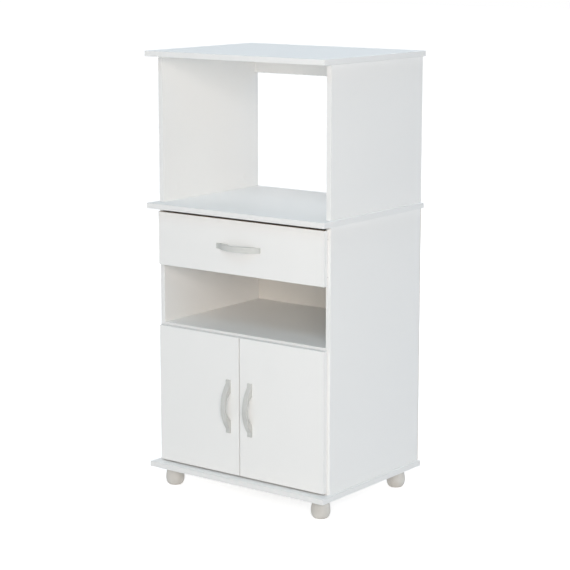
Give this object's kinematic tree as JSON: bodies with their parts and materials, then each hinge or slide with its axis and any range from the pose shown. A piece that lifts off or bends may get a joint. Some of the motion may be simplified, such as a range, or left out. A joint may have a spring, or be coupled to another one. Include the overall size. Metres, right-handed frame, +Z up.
{
  "type": "microwave stand with drawer",
  "caption": "Tall white board stand with an open microwave bay over a drawer on roller runners, an open niche and a cupboard with concealed-hinge doors, on barrel feet.",
  "frame": {"origin": "middle of the footprint's bounding box, on the floor", "axes": "+Z up, the front with the drawer and the doors towards -Y, +X towards the right side panel, on the right of someone who faces the front"},
  "size_m": [0.6, 0.466, 1.214],
  "materials": {
    "beech": "plain beech, ribbed",
    "cam_zinc": "plain die-cast zinc",
    "foot_plastic": "satin grey-beige plastic",
    "nickel_steel": "nickel-plated steel",
    "silver_handle": "satin silver-grey",
    "white_board": "white melamine-faced chipboard, satin",
    "white_hardboard": "thin hardboard, white face",
    "white_nylon": "white nylon",
    "white_plastic": "white plastic",
    "white_runner": "white powder coat",
    "zinc_screw": "zinc-plated steel"
  },
  "bodies": {
    "carcass": {"back_panel": "white_hardboard", "bay_back_rail": "white_board", "board_screws": "zinc_screw", "bottom_board": "white_board", "cam_bolts": "zinc_screw", "cam_caps": "white_plastic", "cam_locks": "cam_zinc", "carcass_dowels": "beech", "foot_back_left": "foot_plastic", "foot_back_right": "foot_plastic", "foot_front_left": "foot_plastic", "foot_front_right": "foot_plastic", "foot_screws": "zinc_screw", "hinge_arms_left": "nickel_steel", "hinge_arms_right": "nickel_steel", "hinge_plates_left": "nickel_steel", "hinge_plates_right": "nickel_steel", "hinge_screws_left": "zinc_screw", "hinge_screws_right": "zinc_screw", "lower_side_left": "white_board", "lower_side_right": "white_board", "middle_board": "white_board", "niche_shelf": "white_board", "runner_cabinet_left": "white_runner", "runner_cabinet_right": "white_runner", "runner_cabinet_screws": "zinc_screw", "top_board": "white_board", "upper_side_left": "white_board", "upper_side_right": "white_board"},
    "drawer": {"drawer_back": "white_board", "drawer_bottom": "white_hardboard", "drawer_dowels": "beech", "drawer_front": "white_board", "drawer_handle": "silver_handle", "drawer_handle_screws": "zinc_screw", "drawer_screws": "zinc_screw", "drawer_side_left": "white_board", "drawer_side_right": "white_board", "runner_drawer_left": "white_runner", "runner_drawer_right": "white_runner", "runner_drawer_screws": "zinc_screw"},
    "cabinet_rollers": {"cabinet_rollers": "white_nylon"},
    "drawer_rollers": {"drawer_rollers": "white_nylon"},
    "left_door": {"door_handle_left": "silver_handle", "door_handle_screws_left": "zinc_screw", "door_left": "white_board", "hinge_cup_screws_left": "zinc_screw", "hinge_cups_left": "nickel_steel"},
    "right_door": {"door_handle_right": "silver_handle", "door_handle_screws_right": "zinc_screw", "door_right": "white_board", "hinge_cup_screws_right": "zinc_screw", "hinge_cups_right": "nickel_steel"},
    "left_outer_links": {"hinge_outer_links_left": "nickel_steel"},
    "right_outer_links": {"hinge_outer_links_right": "nickel_steel"},
    "left_inner_links": {"hinge_inner_links_left": "nickel_steel"},
    "right_inner_links": {"hinge_inner_links_right": "nickel_steel"}
  },
  "joints": [
    {"name": "drawer_slide", "type": "slide", "parent": "carcass", "child": "drawer", "axis": [0, -1, 0], "range_m": [0, 0.3]},
    {"name": "cabinet_rollers_turn", "type": "hinge", "parent": "carcass", "child": "cabinet_rollers", "pos_m": [0, -0.175, 0.65], "axis": [1, 0, 0], "range_deg": [0, 2160]},
    {"name": "drawer_rollers_turn", "type": "hinge", "parent": "drawer", "child": "drawer_rollers", "pos_m": [0, 0.196, 0.65], "axis": [1, 0, 0], "range_deg": [0, 2160]},
    {"name": "left_outer_links_swing", "type": "hinge", "parent": "carcass", "child": "left_outer_links", "pos_m": [-0.25169, -0.1786, 0.26625], "axis": [0, 0, 1], "range_deg": [0, 47.5]},
    {"name": "left_door_swing", "type": "hinge", "parent": "left_outer_links", "child": "left_door", "pos_m": [-0.27149, -0.195, 0.26625], "axis": [0, 0, -1], "range_deg": [0, 142.5]},
    {"name": "left_inner_links_swing", "type": "hinge", "parent": "carcass", "child": "left_inner_links", "pos_m": [-0.245, -0.1876, 0.26625], "axis": [0, 0, 1], "range_deg": [0, 47.5]},
    {"name": "right_outer_links_swing", "type": "hinge", "parent": "carcass", "child": "right_outer_links", "pos_m": [0.25169, -0.1786, 0.26625], "axis": [0, 0, -1], "range_deg": [0, 47.5]},
    {"name": "right_door_swing", "type": "hinge", "parent": "right_outer_links", "child": "right_door", "pos_m": [0.27149, -0.195, 0.26625], "axis": [0, 0, 1], "range_deg": [0, 142.5]},
    {"name": "right_inner_links_swing", "type": "hinge", "parent": "carcass", "child": "right_inner_links", "pos_m": [0.245, -0.1876, 0.26625], "axis": [0, 0, -1], "range_deg": [0, 47.5]}
  ],
  "couplings": [
    {"joint": "cabinet_rollers_turn", "follows": "drawer_slide", "rad_per_m": 125},
    {"joint": "drawer_rollers_turn", "follows": "drawer_slide", "rad_per_m": 125},
    {"joint": "left_outer_links_swing", "follows": "left_door_swing", "ratio": 0.33333},
    {"joint": "left_inner_links_swing", "follows": "left_door_swing", "ratio": 0.33333},
    {"joint": "right_outer_links_swing", "follows": "right_door_swing", "ratio": 0.33333},
    {"joint": "right_inner_links_swing", "follows": "right_door_swing", "ratio": 0.33333}
  ]
}
